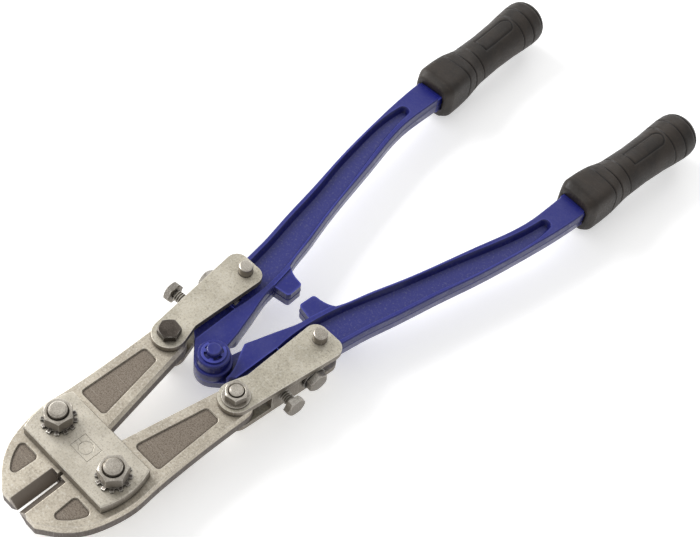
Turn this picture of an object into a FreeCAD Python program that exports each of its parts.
import FreeCAD, Part
import math
import os

# Bolt cutters, 18 inch pattern, centre-cut jaws, forged I-section handles.
# Built lying flat around the middle of the head: +Y runs from the blades to the
# grips, +X is across the tool and +Z up. The mid-plane of the tool is z = 0 while
# it is built; at the end every piece is lifted so that the origin is at the
# bottom centre of the whole tool.

V = FreeCAD.Vector
UP = V(0, 0, 1)

# ---------------------------------------------------------------- thicknesses
jaw_t = 11.4
head_plate_t = 6.4
cheek_t = 3.6
handle_t = 11.4
slip = 0.1                       # flat running gap between stacked pieces
bore_slip = 0.05                 # radial running fit of bolts and pins

# ---------------------------------------------------------------- pivots, plan
head_bolt_x = 20.8
tail_x = 25.6
tail_y = 75.0
centre_y = 82.8
arm_pin_x = 28.6
arm_pin_y = 131.3

# ---------------------------------------------------------------- fasteners
head_bolt_d = 9.5
head_hex_af = 13.8
head_hex_h = 6.2
head_nut_h = 7.4
head_bolt_proud = 2.6
tooth_washer_t = 1.3
tooth_washer_ring_d = 14.6
tooth_washer_d = 18.2
tooth_count = 12
tooth_w = 2.1
tooth_t = 0.8
tooth_twist = 12.0

tail_bolt_d = 7.4
tail_hex_af = 11.2
tail_hex_h = 4.2
tail_nut_h = 4.9
tail_bolt_proud = 1.2
tail_washer_d = 15.0
tail_washer_t = 1.2

arm_pin_d = 7.9
arm_pin_proud = 5.6
arm_pin_proud_below = 2.0

screw_d = 6.3
screw_hex_af = 10.6
screw_hex_h = 4.2
adjust_y = 98.5
adjust_thread_out = 6.5
left_screw_more = 3.2            # the left screw stands this much further out
tip_clearance = 0.3              # between the screw's tip and the handle's neck
clamp_y = 117.0
clamp_washer_d = 14.0
clamp_washer_t = 2.0
clamp_thread_in = 9.0

centre_pin_d = 7.9
centre_pin_top = 16.5
centre_head_d = 17.0
centre_head_t = 2.2
open_play = 1.6                  # play left round the pin in the open pivot
clip_t = 1.0
clip_d = 13.3
clip_groove = 0.8
clip_foot_half = 14.0            # half angle of each clip foot
clip_mouth_half = 40.0           # half angle of the mouth
clip_mouth_at = 122.0            # the way the mouth points, degrees from +X

# ---------------------------------------------------------------- jaws
blade_front = 41.8
blade_rear = 17.0
bevel_w = 5.6
closed_gap = 0.1
jaw_close_angle = 0.62           # what each jaw turns to close fully
relief_x = 1.0
crotch_x = 5.4
crotch_y = 18.6
jaw_tail_r = 9.2
jaw_nose_x = 12.1
# outer edge of a jaw, from the corner behind the nose to the tail
jaw_edge = [(18.2, -37.3), (24.6, -31.4), (29.6, -24.2), (33.4, -14.0), (35.5, -3.5),
            (35.9, 3.0), (35.2, 12.0), (34.6, 24.0), (34.3, 46.0), (34.6, 66.0)]
pocket_depth = 0.7
pocket_r = 2.4
tail_pocket = [(11.4, 20.0), (30.0, 20.0), (28.9, 61.5), (19.0, 61.5)]
nose_pocket = [(14.0, -18.0), (27.0, -18.2), (22.8, -27.4), (14.8, -34.6)]

# ---------------------------------------------------------------- head plates
plate_front = 15.2
plate_rear = 15.5
plate_corner_x = 29.4
plate_bulge_x = 32.6
plate_edge_break = 0.6
mark_w = 13.0
mark_l = 9.6
mark_line = 0.35
mark_depth = 0.25

# ---------------------------------------------------------------- fork arms
# plan of the upper cheek: round nose at the tail bolt, straight sides
arm_nose_r = 9.4
arm_inner = [(20.0, 88.0), (18.8, 131.0)]
arm_rear_y = 138.2
arm_outer_x = 42.2
arm_outer_y = 131.0
arm_corner_r = 6.5
cheek_inset = 2.4                # the lower cheek and the web stand this far in
web_t = 3.6
web_front_y = 90.5
web_rear_y = 123.5

# ---------------------------------------------------------------- handles
eye_r = 10.2
boss_d = 17.6
boss_h = 6.3
# the wall of the half lap, from the crotch of the two necks to the front of the eye
lap_wall = [(2.6, 103.6), (6.4, 95.6), (10.6, 88.0), (12.4, 80.0)]
# handle behind the arm: (y, inner x, outer x, inner rim width, outer rim width)
stations = [(156.0, 18.1, 39.6, 1.6, 2.4), (173.0, 22.8, 43.4, 1.4, 2.4),
            (190.0, 27.8, 46.8, 1.3, 2.4), (207.0, 32.4, 50.2, 1.2, 2.2),
            (224.0, 36.4, 54.0, 1.6, 1.6), (245.0, 41.3, 58.0, 2.6, 1.5),
            (264.0, 46.0, 61.0, 2.9, 1.5), (281.0, 48.5, 63.4, 3.0, 2.4),
            (296.0, 48.8, 65.0, 3.0, 3.0), (308.0, 48.8, 65.8, 3.0, 3.0)]
neck_inner = [(3.6, 103.5), (5.4, 109.0), (8.4, 119.0), (12.6, 132.5), (13.4, 138.6)]
neck_outer = [(19.0, 86.6), (27.0, 97.0), (29.2, 108.0), (30.6, 119.0), (34.6, 129.5),
              (37.4, 142.0)]
neck_root_x = 1.2
lug_front_y = 140.4
lug_rear_y = 151.0
lug_root_y = 154.6
lug_gap = 0.5                    # what is left between the lugs when closed
lug_corner_r = 2.0
lug_drop = 0.8                   # the lug is this much thinner on each face
handle_close_angle = 3.39        # what each handle turns until the lugs meet
handle_edge_break = 0.6
channel_depth = 4.0
channel_slope = 1.8
# the channel's two edges where it runs forward under the fork arm
channel_front = [(16.3, 112.5, 24.0), (16.9, 141.0, 34.6)]
channel_end_x = 56.0
channel_end_y = 283.8
channel_end_r = 3.7
arm_pin_pad_d = 13.0
# the neck in front of it stands lower outside a ridge
ridge = [(15.8, 83.0), (16.3, 112.2)]
neck_step = 3.4

# ---------------------------------------------------------------- grips
grip_x = 56.7
grip_y = 309.0
grip_lean = 3.2                  # degrees outward from +Y
grip_l = 100.0
tang_w = 16.2
tang_t = 11.0
tang_l = 86.0
collar_l = 17.5
collar_w = 27.2
collar_chamfer = 5.0
collar_nose = 6.0
# (distance from the front of the grip, radius) of the turned part
grip_profile = [(15.0, 13.9), (22.0, 13.7), (38.0, 12.8), (54.0, 12.4), (70.0, 12.9),
                (80.0, 13.7), (88.0, 14.2), (93.0, 14.1)]
groove_places = [21.5, 28.5, 37.0, 77.0, 86.0]
groove_w = 0.9
groove_depth = 0.8
end_r = 9.4                      # radius of the end's dome, inside its rounding
end_dome = 1.4
end_bow = (97.4, 12.7)           # a point of the end's rounding

cheek_in_z = jaw_t / 2 + slip
cheek_out_z = cheek_in_z + cheek_t
plate_in_z = jaw_t / 2 + slip
plate_out_z = plate_in_z + head_plate_t


# ---------------------------------------------------------------- small helpers
def cylinder(x, y, z0, z1, d):
    return Part.makeCylinder(d / 2, z1 - z0, V(x, y, z0), UP)


def prism(points, z0, z1):
    wire = Part.makePolygon([V(x, y, z0) for x, y in points + points[:1]])
    return Part.Face(wire).extrude(V(0, 0, z1 - z0))


def slab(edges, z0, z1):
    face = Part.Face(Part.Wire(edges))
    face.translate(V(0, 0, z0))
    return face.extrude(V(0, 0, z1 - z0))


def line(a, b):
    return Part.LineSegment(V(*a, 0), V(*b, 0)).toShape()


def arc(a, b, c):
    return Part.Arc(V(*a, 0), V(*b, 0), V(*c, 0)).toShape()


def spline(points):
    curve = Part.BSplineCurve()
    curve.interpolate([V(x, y, 0) for x, y in points])
    return curve.toShape()


def upright_edges(shape):
    found = []
    for edge in shape.Edges:
        a = edge.Vertexes[0].Point
        b = edge.Vertexes[-1].Point
        if math.hypot(a.x - b.x, a.y - b.y) < 1e-6 and abs(a.z - b.z) > 1e-3:
            found.append(edge)
    return found


def edges_at(shape, z):
    found = []
    for edge in shape.Edges:
        if all(abs(v.Z - z) < 1e-6 for v in edge.Vertexes):
            middle = edge.valueAt((edge.FirstParameter + edge.LastParameter) / 2)
            if abs(middle.z - z) < 1e-6:
                found.append(edge)
    return found


def rounded(points, z0, z1, r):
    block = prism(points, z0, z1)
    return block.makeFillet(r, upright_edges(block))


def mirrored(shape):
    return shape.mirror(V(0, 0, 0), V(1, 0, 0))


def flipped(shape):
    # the same piece turned over about the tool's long axis
    other = shape.copy()
    other.rotate(V(0, 0, 0), V(0, 1, 0), 180)
    return other


# ---------------------------------------------------------------- fasteners
def hexagon(af, h, turn):
    across = af / math.cos(math.radians(30))
    corners = []
    for k in range(6):
        angle = math.radians(60 * k + turn)
        corners.append((across / 2 * math.cos(angle), across / 2 * math.sin(angle)))
    return prism(corners, 0, h)


def hex_body(af, h, turn, both_ends):
    # a hexagon whose corners are turned off by a 30 degree cone
    corner_r = af / 2 / math.cos(math.radians(30))
    drop = (corner_r - af / 2 * 0.97) * math.tan(math.radians(30))
    outer = corner_r + 0.5
    rise = drop + 0.5 * math.tan(math.radians(30))
    profile = [V(0, 0, h), V(af / 2 * 0.97, 0, h), V(outer, 0, h - rise)]
    if both_ends:
        profile += [V(outer, 0, rise), V(af / 2 * 0.97, 0, 0), V(0, 0, 0)]
    else:
        profile += [V(outer, 0, 0), V(0, 0, 0)]
    turned = Part.Face(Part.makePolygon(profile + profile[:1]))
    return hexagon(af, h, turn).common(turned.revolve(V(0, 0, 0), UP, 360))


def nut(af, h, d, turn):
    body = hex_body(af, h, turn, True)
    body = body.cut(Part.makeCylinder(d / 2 + bore_slip, h, V(0, 0, 0), UP))
    sink = Part.makeCone(d / 2 + 0.9, d / 2, 0.9, V(0, 0, h), V(0, 0, -1))
    return body.cut(sink)


def bolt(d, shank, af, h, turn):
    # head below z = 0, shank upward, rounded-off end
    head = hex_body(af, h, turn, False)
    head.rotate(V(0, 0, 0), V(1, 0, 0), 180)
    lead = d * 0.11
    rod = Part.makeCylinder(d / 2, shank, V(0, 0, 0), UP)
    rod = rod.makeChamfer(lead, edges_at(rod, shank))
    return head.fuse(rod).removeSplitter()


def washer(d, hole, t):
    return Part.makeCylinder(d / 2, t).cut(Part.makeCylinder(hole / 2, t))


def toothed_washer():
    ring = washer(tooth_washer_ring_d, head_bolt_d + 0.6, tooth_washer_t)
    start = tooth_washer_ring_d / 2 - 0.8
    for k in range(tooth_count):
        tooth = Part.makeBox(tooth_washer_d / 2 - start, tooth_w, tooth_t,
                             V(start, -tooth_w / 2, -tooth_t / 2))
        tooth.rotate(V(0, 0, 0), V(1, 0, 0), tooth_twist)
        tooth.translate(V(0, 0, tooth_washer_t / 2))
        tooth.rotate(V(0, 0, 0), UP, 360 / tooth_count * (k + 0.5))
        ring = ring.fuse(tooth)
    return ring.removeSplitter()


# ---------------------------------------------------------------- head
def head_plate_slab(z0, z1):
    bulge_y = (plate_rear - plate_front) / 2
    right = arc((plate_corner_x, -plate_front), (plate_bulge_x, bulge_y), (plate_corner_x, plate_rear))
    left = arc((-plate_corner_x, plate_rear), (-plate_bulge_x, bulge_y), (-plate_corner_x, -plate_front))
    return slab([line((-plate_corner_x, -plate_front), (plate_corner_x, -plate_front)), right,
                 line((plate_corner_x, plate_rear), (-plate_corner_x, plate_rear)), left], z0, z1)


def head_plate():
    plate = head_plate_slab(plate_in_z, plate_out_z)
    plate = plate.makeChamfer(plate_edge_break, edges_at(plate, plate_out_z))
    for side in (-1, 1):
        plate = plate.cut(cylinder(side * head_bolt_x, 0, plate_in_z, plate_out_z,
                                   head_bolt_d + 2 * bore_slip))
    return plate


def maker_mark():
    # a plain engraved frame with a ring inside, no letters
    outer = Part.makeBox(mark_w, mark_l, mark_depth, V(-mark_w / 2, -mark_l / 2, 0))
    inner = Part.makeBox(mark_w - 2 * mark_line, mark_l - 2 * mark_line, mark_depth,
                         V(-mark_w / 2 + mark_line, -mark_l / 2 + mark_line, 0))
    ring_r = mark_l / 2 - 1.0
    ring = washer(2 * ring_r, 2 * (ring_r - mark_line), mark_depth)
    mark = Part.makeCompound([outer.cut(inner), ring])
    mark.translate(V(0, 0, plate_out_z - mark_depth))
    return mark


def head_nodes():
    nodes = {}
    plate = head_plate()
    nodes["upper_head_plate"] = plate.cut(maker_mark())
    nodes["lower_head_plate"] = flipped(plate)
    stack = 2 * plate_out_z + tooth_washer_t + head_nut_h + head_bolt_proud
    for name, side, turn in (("left", -1, 23.0), ("right", 1, -7.0)):
        place = V(side * head_bolt_x, 0, 0)
        fixing = bolt(head_bolt_d, stack, head_hex_af, head_hex_h, turn)
        fixing.translate(place + V(0, 0, -plate_out_z))
        lock = toothed_washer()
        lock.translate(place + V(0, 0, plate_out_z))
        top = nut(head_hex_af, head_nut_h, head_bolt_d, turn)
        top.translate(place + V(0, 0, plate_out_z + tooth_washer_t))
        nodes[name + "_head_bolt"] = fixing
        nodes[name + "_toothed_washer"] = lock
        nodes[name + "_head_nut"] = top
    return nodes


# ---------------------------------------------------------------- jaws
def edge_x(y):
    # the cutting edge stands back so that both edges meet when the jaws close
    return closed_gap + abs(y) * math.tan(math.radians(jaw_close_angle))


def tangent_point(point, centre, r, side):
    # where a line from the point touches a circle
    dx = point[0] - centre[0]
    dy = point[1] - centre[1]
    far = math.hypot(dx, dy)
    angle = math.atan2(dy, dx) + side * math.acos(r / far)
    return (centre[0] + r * math.cos(angle), centre[1] + r * math.sin(angle))


def bevel_wedge(up):
    reach = jaw_t
    height = jaw_t / 2
    slope = (bevel_w - edge_x(blade_front)) / height
    corners = [(edge_x(blade_rear), 0), (edge_x(blade_rear) + slope * reach, up * reach),
               (-reach, up * reach), (-reach, 0)]
    face = Part.Face(Part.makePolygon([V(x, -blade_rear, z) for x, z in corners + corners[:1]]))
    run = blade_front - blade_rear
    shift = edge_x(blade_front) - edge_x(blade_rear)
    return face.extrude(V(shift / run * (run + 2), -(run + 2), 0))


def right_jaw():
    tail = (tail_x, tail_y)
    tip = (edge_x(blade_front), -blade_front)
    last = jaw_edge[-1]
    outer_touch = tangent_point(last, tail, jaw_tail_r, 1)
    inner_touch = tangent_point((crotch_x, crotch_y), tail, jaw_tail_r, -1)
    back = (tail_x + jaw_tail_r * 0.1, tail_y + jaw_tail_r * math.sqrt(1 - 0.01))
    edges = [line((jaw_nose_x, -blade_front), jaw_edge[0]),
             spline(jaw_edge),
             line(last, outer_touch),
             arc(outer_touch, back, inner_touch),
             line(inner_touch, (crotch_x, crotch_y)),
             line((crotch_x, crotch_y), (relief_x, 0)),
             line((relief_x, 0), (relief_x, -blade_rear)),
             line((relief_x, -blade_rear), (edge_x(blade_rear), -blade_rear)),
             line((edge_x(blade_rear), -blade_rear), tip),
             line(tip, (jaw_nose_x, -blade_front))]
    jaw = slab(edges, -jaw_t / 2, jaw_t / 2)
    for up in (-1, 1):
        jaw = jaw.cut(bevel_wedge(up))
    for pocket in (tail_recess(), nose_recess()):
        jaw = jaw.cut(pocket).cut(flipped(mirrored(pocket)))
    jaw = jaw.cut(cylinder(head_bolt_x, 0, -jaw_t, jaw_t, head_bolt_d + 2 * bore_slip))
    return jaw.cut(cylinder(tail_x, tail_y, -jaw_t, jaw_t, tail_bolt_d + 2 * bore_slip))


def tail_recess():
    return rounded(tail_pocket, jaw_t / 2 - pocket_depth, jaw_t, pocket_r)


def nose_recess():
    inner, outer, bow, front = nose_pocket
    block = slab([line(front, inner), line(inner, outer), arc(outer, bow, front)],
                 jaw_t / 2 - pocket_depth, jaw_t)
    return block.makeFillet(pocket_r, upright_edges(block))


# ---------------------------------------------------------------- fork arms
def arm_plan(inset):
    # outline of a cheek; the outer edge and the rear stand in by the inset
    tail = (tail_x, tail_y)
    outer_x = arm_outer_x - inset
    corner_out = (outer_x, arm_rear_y)
    touch = tangent_point((outer_x, arm_outer_y), tail, arm_nose_r, -1)
    nose = (tail_x, tail_y - arm_nose_r)
    inner_touch = tangent_point(arm_inner[0], tail, arm_nose_r, 1)
    inner_rear = (arm_inner[1][0], arm_rear_y)
    block = slab([arc(inner_touch, nose, touch),
                  line(touch, (outer_x, arm_outer_y)),
                  line((outer_x, arm_outer_y), corner_out),
                  line(corner_out, inner_rear),
                  line(inner_rear, arm_inner[0]),
                  line(arm_inner[0], inner_touch)], 0, cheek_t)
    rear = [e for e in upright_edges(block) if e.Vertexes[0].Y > arm_rear_y - 1]
    return block.makeFillet(arm_corner_r, rear)


def arm_edge_frame():
    # direction along the outer edge of the web, its outward normal and a point on it
    tail = (tail_x, tail_y)
    end = (arm_outer_x - cheek_inset, arm_outer_y)
    start = tangent_point(end, tail, arm_nose_r, -1)
    length = math.hypot(end[0] - start[0], end[1] - start[1])
    along = V((end[0] - start[0]) / length, (end[1] - start[1]) / length, 0)
    return V(start[0], start[1], 0), along, V(along.y, -along.x, 0)


def on_web(y):
    # the point of the web's outer face at height y of the plan
    start, along, out = arm_edge_frame()
    return start + along * ((y - start.y) / along.y)


def fork_web():
    start, along, out = arm_edge_frame()
    front = on_web(web_front_y)
    rear = on_web(web_rear_y)
    corners = [front, rear, rear - out * web_t, front - out * web_t]
    return prism([(p.x, p.y) for p in corners], -cheek_in_z - 0.01, cheek_in_z + 0.01)


def web_hole(y, d):
    start, along, out = arm_edge_frame()
    return Part.makeCylinder(d / 2, 3 * web_t, on_web(y) + out * web_t, out * -1)


def right_fork_arm():
    upper = arm_plan(0)
    upper.translate(V(0, 0, cheek_in_z))
    lower = arm_plan(cheek_inset)
    lower.translate(V(0, 0, -cheek_out_z))
    arm = upper.fuse(fork_web()).fuse(lower)
    for x, y, d in ((tail_x, tail_y, tail_bolt_d), (arm_pin_x, arm_pin_y, arm_pin_d)):
        arm = arm.cut(cylinder(x, y, -cheek_out_z, cheek_out_z, d + 2 * bore_slip))
    arm = arm.cut(web_hole(adjust_y, screw_d + 2 * bore_slip))
    return arm.cut(web_hole(clamp_y, screw_d + 0.6)).removeSplitter()


# ---------------------------------------------------------------- arm fasteners
def tail_fixing(head_up):
    stack = 2 * cheek_out_z + tail_washer_t + tail_nut_h + tail_bolt_proud
    fixing = bolt(tail_bolt_d, stack, tail_hex_af, tail_hex_h, 8.0)
    fixing.translate(V(0, 0, -cheek_out_z))
    pad = washer(tail_washer_d, tail_bolt_d + 2 * bore_slip, tail_washer_t)
    pad.translate(V(0, 0, cheek_out_z))
    top = nut(tail_hex_af, tail_nut_h, tail_bolt_d, 14.0)
    top.translate(V(0, 0, cheek_out_z + tail_washer_t))
    pieces = [fixing, pad, top]
    for piece in pieces:
        if head_up:
            piece.rotate(V(0, 0, 0), V(0, 1, 0), 180)
        piece.translate(V(tail_x, tail_y, 0))
    return pieces


def arm_pin():
    pin = cylinder(arm_pin_x, arm_pin_y, -cheek_out_z - arm_pin_proud_below,
                   cheek_out_z + arm_pin_proud, arm_pin_d)
    return pin.makeChamfer(0.6, edges_at(pin, cheek_out_z + arm_pin_proud))


def aim_out(shape, point):
    # from upright with its head below to lying along the web's normal, head outside
    start, along, out = arm_edge_frame()
    turn = math.degrees(math.atan2(out.y, out.x))
    shape.rotate(V(0, 0, 0), V(0, 1, 0), -90)
    shape.rotate(V(0, 0, 0), UP, turn)
    shape.translate(point)
    return shape


def adjusting_screw(more):
    start, along, out = arm_edge_frame()
    gap = min(handle_gap(adjust_y + k * screw_d / 2) for k in (-1, 0, 1))
    thread_out = adjust_thread_out + more
    length = thread_out + web_t + gap - tip_clearance
    screw = bolt(screw_d, length, screw_hex_af, screw_hex_h, 0)
    return aim_out(screw, on_web(adjust_y) + out * thread_out)


def clamp_bolt():
    start, along, out = arm_edge_frame()
    length = clamp_washer_t + web_t + handle_gap(clamp_y) + clamp_thread_in
    return aim_out(bolt(screw_d, length, screw_hex_af, screw_hex_h, 30),
                   on_web(clamp_y) + out * clamp_washer_t)


def clamp_washer():
    start, along, out = arm_edge_frame()
    pad = washer(clamp_washer_d, screw_d + 0.6, clamp_washer_t)
    flat = Part.makeBox(clamp_washer_d, clamp_washer_d, clamp_washer_t,
                        V(cheek_in_z - slip, -clamp_washer_d / 2, 0))
    pad = pad.cut(flat)
    return aim_out(pad, on_web(clamp_y) + out * clamp_washer_t)


def handle_gap(y):
    # from the inside of the web to the handle, along the web's normal
    start, along, out = arm_edge_frame()
    inside = on_web(y) - out * web_t
    ray = Part.LineSegment(inside, inside - out * 30).toShape()
    edge = spline(neck_outer)
    return ray.distToShape(edge)[1][0][0].distanceToPoint(inside)


# ---------------------------------------------------------------- handles
def close_turn(x, y):
    # a point given with the handles closed, moved to where it is at rest
    angle = math.radians(-handle_close_angle)
    dy = y - centre_y
    return (x * math.cos(angle) - dy * math.sin(angle),
            centre_y + x * math.sin(angle) + dy * math.cos(angle))


def lug_points():
    front = close_turn(lug_gap, lug_front_y)
    rear = close_turn(lug_gap, lug_rear_y)
    return front, rear


def handle_plan():
    # outline of a handle; the eye's disc is added to it
    eye = (0, centre_y)
    outer_touch = tangent_point(neck_outer[0], eye, eye_r, -1)
    neck_root = (neck_root_x, centre_y + eye_r * 0.99)
    lug_front, lug_rear = lug_points()
    root = (stations[0][1] - 0.6, lug_root_y)
    lug_corner = (lug_rear[0] + 4.0, lug_rear[1] + 0.4)
    rear = stations[-1]
    return [line(eye, outer_touch),
            line(outer_touch, neck_outer[0]),
            spline(neck_outer + [(s[2], s[0]) for s in stations]),
            line((rear[2], rear[0]), (rear[1], rear[0])),
            spline([(s[1], s[0]) for s in reversed(stations)] + [root]),
            arc(root, ((root[0] + lug_corner[0]) / 2 + 0.8, lug_root_y - 2.0), lug_corner),
            line(lug_corner, lug_rear),
            line(lug_rear, lug_front),
            line(lug_front, neck_inner[-1]),
            spline(list(reversed(neck_inner))),
            line(neck_inner[0], neck_root),
            line(neck_root, eye)]


def channel_wire(inset, z):
    # the channel's outline at one depth, stood in from its two edges
    used = [s for s in stations if s[0] < channel_end_y - 10]
    inner = [(x + inset, y) for x, y, far in channel_front]
    inner += [(s[1] + s[3] + inset, s[0]) for s in used]
    outer = [(far - inset, y) for x, y, far in channel_front]
    outer += [(s[2] - s[4] - inset, s[0]) for s in used]
    end_r = channel_end_r - inset
    inner.append((channel_end_x - end_r, channel_end_y))
    outer.append((channel_end_x + end_r, channel_end_y))
    wire = Part.Wire([spline(inner),
                      arc(inner[-1], (channel_end_x, channel_end_y + end_r), outer[-1]),
                      spline(list(reversed(outer))),
                      line(outer[0], inner[0])])
    wire.translate(V(0, 0, z))
    return wire


def channel():
    top = handle_t / 2
    over = 1.0
    slope = channel_slope / channel_depth
    pit = Part.makeLoft([channel_wire(-slope * over, top + over),
                         channel_wire(channel_slope, top - channel_depth)], True, True)
    return pit.cut(cylinder(arm_pin_x, arm_pin_y, 0, top + over, arm_pin_pad_d))


def neck_recess():
    clear_x = arm_outer_x
    corners = ridge + [(clear_x, ridge[1][1]), (clear_x, ridge[0][1])]
    return prism(corners, handle_t / 2 - neck_step, handle_t / 2 + 1)


def lug_recess():
    # stands the stop lug a little lower than the handle's rim
    front, rear = lug_points()
    edge = (stations[0][1] - 1.0, lug_root_y + 3)
    corners = [(front[0] - 3, front[1] - 3), (neck_inner[-1][0], front[1] - 3), edge,
               (front[0] - 3, edge[1])]
    return prism(corners, handle_t / 2 - lug_drop, handle_t / 2 + 1)


def lap_cut():
    # one half of the eye and the neck beside it is cut away for the other handle
    first = lap_wall[0]
    last = lap_wall[-1]
    clear = 2 * eye_r
    front_y = centre_y - clear
    return slab([spline(lap_wall),
                 line(last, (last[0], front_y)),
                 line((last[0], front_y), (-clear, front_y)),
                 line((-clear, front_y), (-clear, first[1])),
                 line((-clear, first[1]), first)], -handle_t / 2 - 1, slip)


def grip_place(shape):
    # from lying along +Z to lying along the grip's axis, on the right handle
    shape.rotate(V(0, 0, 0), V(1, 0, 0), -90)
    shape.rotate(V(0, 0, 0), UP, -grip_lean)
    shape.translate(V(grip_x, grip_y, 0))
    return shape


def tang(w, t, start, end):
    return grip_place(Part.makeBox(w, t, end - start, V(-w / 2, -t / 2, start)))


def eye_bore(d, z0, z1):
    return cylinder(0, centre_y, z0, z1, d)


def lug_edges(blank):
    front, rear = lug_points()
    found = []
    for edge in upright_edges(blank):
        point = edge.Vertexes[0].Point
        for x, y in (front, rear):
            if math.hypot(point.x - x, point.y - y) < 0.1:
                found.append(edge)
    return found


def handle_blank():
    # the forging, with its upper half of the eye and the neck behind it left standing
    half = handle_t / 2
    blank = slab(handle_plan(), -half, half)
    blank = blank.makeFillet(lug_corner_r, lug_edges(blank))
    blank = blank.fuse(cylinder(0, centre_y, -half, half, 2 * eye_r)).removeSplitter()
    for z in (-half, half):
        blank = blank.makeChamfer(handle_edge_break, edges_at(blank, z))
    blank = blank.fuse(tang(tang_w, tang_t, -3.0, tang_l))
    for recess in (channel(), neck_recess(), lug_recess()):
        blank = blank.cut(recess).cut(flipped(mirrored(recess)))
    blank = blank.cut(lap_cut())
    blank = blank.cut(cylinder(arm_pin_x, arm_pin_y, -half, half, arm_pin_d + 2 * bore_slip))
    return blank.cut(clamp_thread())


def clamp_thread():
    start, along, out = arm_edge_frame()
    return Part.makeCylinder(screw_d / 2 + bore_slip, clamp_thread_in + 1.5 + handle_gap(clamp_y),
                             on_web(clamp_y) - out * web_t, out * -1)


def left_handle():
    # its half of the eye is the upper one; a boss stands on it, bored for the centre pin
    half = handle_t / 2
    boss = cylinder(0, centre_y, half - 0.01, half + boss_h, boss_d)
    boss = boss.makeChamfer(0.7, edges_at(boss, half + boss_h))
    handle = mirrored(handle_blank()).fuse(boss)
    return handle.cut(eye_bore(centre_pin_d + 2 * bore_slip, 0, centre_pin_top))


def right_handle():
    # the same forging turned over, without a boss: its half is the lower one. Its bore is
    # opened up, because this is the pivot where the closed linkage is opened
    handle = flipped(mirrored(handle_blank()))
    return handle.cut(eye_bore(centre_pin_d + 2 * open_play, -centre_pin_top, 0))


# ---------------------------------------------------------------- centre pivot
def centre_pin():
    foot = -handle_t / 2 - slip
    pin = cylinder(0, centre_y, foot, centre_pin_top, centre_pin_d)
    pin = pin.makeChamfer(0.6, edges_at(pin, centre_pin_top))
    head = cylinder(0, centre_y, foot - centre_head_t, foot, centre_head_d)
    head = head.makeChamfer(0.8, edges_at(head, foot - centre_head_t))
    groove_z = handle_t / 2 + boss_h + slip
    groove = washer(centre_pin_d + 2, centre_pin_d - 2 * clip_groove, clip_t)
    groove.translate(V(0, centre_y, groove_z))
    return pin.fuse(head).cut(groove).removeSplitter()


def sector(r, middle, half, t):
    block = Part.makeCylinder(r, t, V(0, 0, 0), UP, 2 * half)
    block.rotate(V(0, 0, 0), UP, middle - half)
    return block


def centre_clip():
    # an E-shaped snap ring: three feet stand in the pin's groove
    rim = washer(clip_d, clip_d - 3.0, clip_t)
    foot_r = centre_pin_d / 2 - clip_groove + bore_slip
    clip = rim
    for turn in (92, 180, -92):
        foot = sector(clip_d / 2 - 1.0, clip_mouth_at + turn, clip_foot_half, clip_t)
        clip = clip.fuse(foot.cut(Part.makeCylinder(foot_r, clip_t)))
    clip = clip.cut(sector(clip_d, clip_mouth_at, clip_mouth_half, clip_t))
    clip = clip.removeSplitter()
    clip.translate(V(0, centre_y, handle_t / 2 + boss_h + slip))
    return clip


# ---------------------------------------------------------------- grips
def turned(profile):
    # a solid of revolution about +Z from (z, r) points, the first and last on the axis
    edges = []
    edges.append(Part.LineSegment(V(0, 0, profile[0][0]), V(profile[0][1], 0, profile[0][0])).toShape())
    curve = Part.BSplineCurve()
    curve.interpolate([V(r, 0, z) for z, r in profile])
    edges.append(curve.toShape())
    rim_z, rim_r = profile[-1]
    dome_foot = V(end_r, 0, grip_l - end_dome)
    dome_top = V(0, 0, grip_l)
    dome_r = (end_r ** 2 + end_dome ** 2) / (2 * end_dome)
    half = math.asin(end_r / dome_r) / 2
    crown = V(dome_r * math.sin(half), 0, grip_l - dome_r + dome_r * math.cos(half))
    bow = V(end_bow[1], 0, end_bow[0])
    edges.append(Part.Arc(V(rim_r, 0, rim_z), bow, dome_foot).toShape())
    edges.append(Part.Arc(dome_foot, crown, dome_top).toShape())
    edges.append(Part.LineSegment(dome_top, V(0, 0, profile[0][0])).toShape())
    return Part.Face(Part.Wire(edges)).revolve(V(0, 0, 0), UP, 360)


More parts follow.
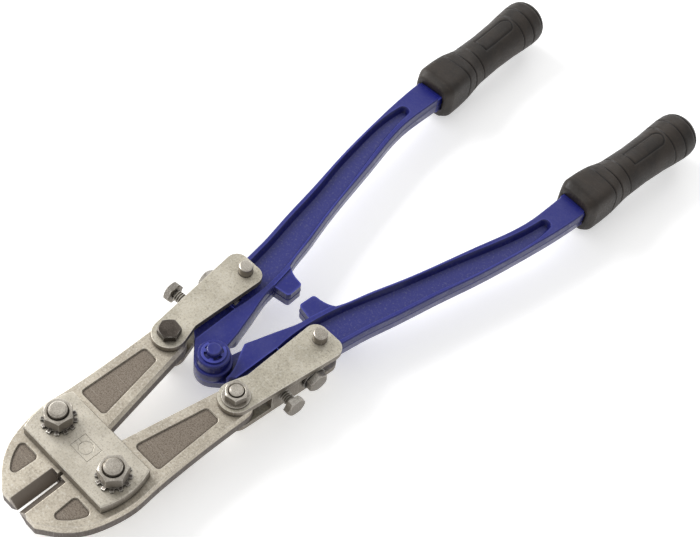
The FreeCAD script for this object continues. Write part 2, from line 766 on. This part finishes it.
def collar():
    half = collar_w / 2
    cut = collar_chamfer
    corners = []
    for sx, sy in ((1, 1), (-1, 1), (-1, -1), (1, -1)):
        pair = [(sx * half, sy * (half - cut)), (sx * (half - cut), sy * half)]
        corners += pair if sx * sy > 0 else pair[::-1]
    block = prism(corners, 0, groove_places[0])
    corner_r = math.hypot(half, half - cut)
    profile = [V(0, 0, 0), V(half - collar_nose * 0.3, 0, 0), V(corner_r, 0, collar_nose),
               V(corner_r, 0, collar_l - 4), V(grip_profile[1][1], 0, groove_places[0]),
               V(0, 0, groove_places[0])]
    cone = Part.Face(Part.makePolygon(profile + profile[:1])).revolve(V(0, 0, 0), UP, 360)
    return block.common(cone)


def right_grip():
    grip = turned(grip_profile).fuse(collar())
    for place in groove_places:
        ring = washer(40, 2 * (grip_radius(place) - groove_depth), groove_w)
        ring.translate(V(0, 0, place))
        grip = grip.cut(ring)
    grip = grip_place(grip.removeSplitter())
    return grip.cut(tang(tang_w + 2 * slip, tang_t + 2 * slip, -5.0, tang_l + slip))


def grip_radius(place):
    before = [p for p in grip_profile if p[0] <= place][-1]
    after = [p for p in grip_profile if p[0] >= place][0]
    if before == after:
        return before[1]
    share = (place - before[0]) / (after[0] - before[0])
    return before[1] + share * (after[1] - before[1])


# ---------------------------------------------------------------- both sides
def side_nodes():
    nodes = {}
    right = {"jaw": right_jaw(), "fork_arm": right_fork_arm(), "arm_pin": arm_pin(),
             "adjusting_screw": adjusting_screw(0), "clamp_bolt": clamp_bolt(),
             "clamp_washer": clamp_washer(), "grip": right_grip()}
    for name, shape in right.items():
        nodes["right_" + name] = shape
        nodes["left_" + name] = mirrored(shape)
    nodes["left_adjusting_screw"] = mirrored(adjusting_screw(left_screw_more))
    for side, head_up in (("left", True), ("right", False)):
        for name, shape in zip(("tail_bolt", "tail_washer", "tail_nut"), tail_fixing(head_up)):
            nodes[side + "_" + name] = mirrored(shape) if side == "left" else shape
    nodes["left_handle"] = left_handle()
    nodes["right_handle"] = right_handle()
    nodes["centre_pin"] = centre_pin()
    nodes["centre_clip"] = centre_clip()
    return nodes


def main():
    nodes = head_nodes()
    nodes.update(side_nodes())
    box = Part.makeCompound(list(nodes.values())).optimalBoundingBox(False, False)
    lift = V(-box.Center.x, -box.Center.y, -box.ZMin)
    os.makedirs("parts", exist_ok=True)
    for name, shape in nodes.items():
        shape.translate(lift)
        shape.exportStep(f"parts/{name}.step")
    print(len(nodes), "nodes, size", round(box.XLength, 1), round(box.YLength, 1), round(box.ZLength, 1))


main()
